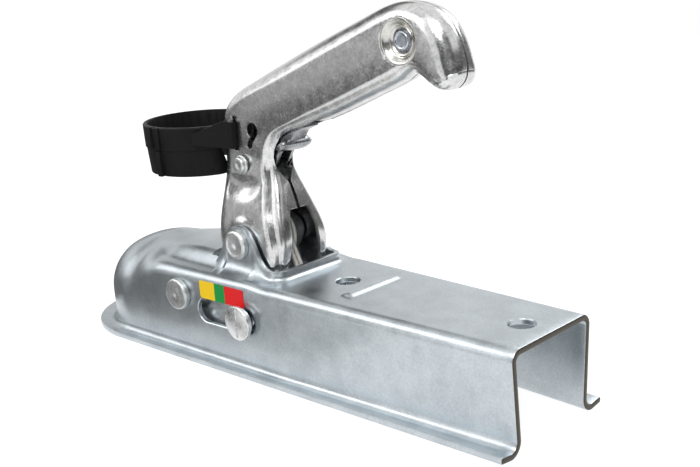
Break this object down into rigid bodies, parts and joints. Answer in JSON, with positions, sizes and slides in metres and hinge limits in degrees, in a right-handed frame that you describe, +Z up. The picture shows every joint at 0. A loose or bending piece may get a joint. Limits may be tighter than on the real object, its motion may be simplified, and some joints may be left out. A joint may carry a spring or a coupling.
{
  "type": "trailer_coupling_head",
  "caption": "Pressed steel ball coupling head for a square trailer drawbar, with a lever handle that opens and clamps it, a side wear indicator and a plug holder ring",
  "frame": {"origin": "centre of the 50 mm ball that the coupling takes", "axes": "+X towards the nose, +Y towards the indicator side, +Z up out of the top plate"},
  "size_m": [0.3206, 0.098, 0.1877],
  "materials": {
    "housing_zinc": "satin zinc plating",
    "handle_zinc": "bright zinc plating",
    "rivet_zinc": "satin zinc plating",
    "pin_zinc": "bluish zinc plating",
    "slide_zinc": "bright zinc plating",
    "disc_zinc": "bright zinc plating",
    "passivated_zinc": "yellowish passivated zinc",
    "spring_steel": "oiled spring wire",
    "inner_steel": "plain hardened steel",
    "black_plastic": "moulded black",
    "label_film": "three plain colour fields"
  },
  "bodies": {
    "base": {"housing": "housing_zinc", "front_pin": "rivet_zinc", "ball_cup": "inner_steel", "pivot_pin": "rivet_zinc", "pivot_washer": "inner_steel", "handle_spring": "spring_steel", "indicator_label": "label_film"},
    "handle": {"handle": "handle_zinc", "pivot_sleeve": "inner_steel", "cam_lever": "inner_steel", "grip_eyelet": "passivated_zinc", "grip_pin": "pin_zinc", "plug_ring": "black_plastic", "trigger_rivet": "rivet_zinc", "trigger_spring": "spring_steel"},
    "catch": {"trigger": "handle_zinc"},
    "slide": {"slide_bracket": "slide_zinc", "clamp_jaw": "inner_steel", "jaw_pin": "pin_zinc", "indicator_pin": "pin_zinc", "indicator_collar": "rivet_zinc", "indicator_disc": "disc_zinc", "far_head": "rivet_zinc"}
  },
  "joints": [
    {"name": "handle_hinge", "type": "hinge", "parent": "base", "child": "handle", "pos_m": [-0.0979, 0, 0.0443], "axis": [0, -1, 0], "range_deg": [0, 28]},
    {"name": "catch_hinge", "type": "hinge", "parent": "handle", "child": "catch", "pos_m": [-0.0913, 0, 0.0839], "axis": [0, 1, 0], "range_deg": [0, 3], "stiffness_Nm_per_rad": 2, "springref_deg": -5.73},
    {"name": "clamp_slide", "type": "slide", "parent": "base", "child": "slide", "axis": [1, 0, 0], "range_m": [0, 0.01205]}
  ],
  "couplings": [
    {"joint": "clamp_slide", "follows": "handle_hinge", "m_per_rad": 0.02456}
  ]
}
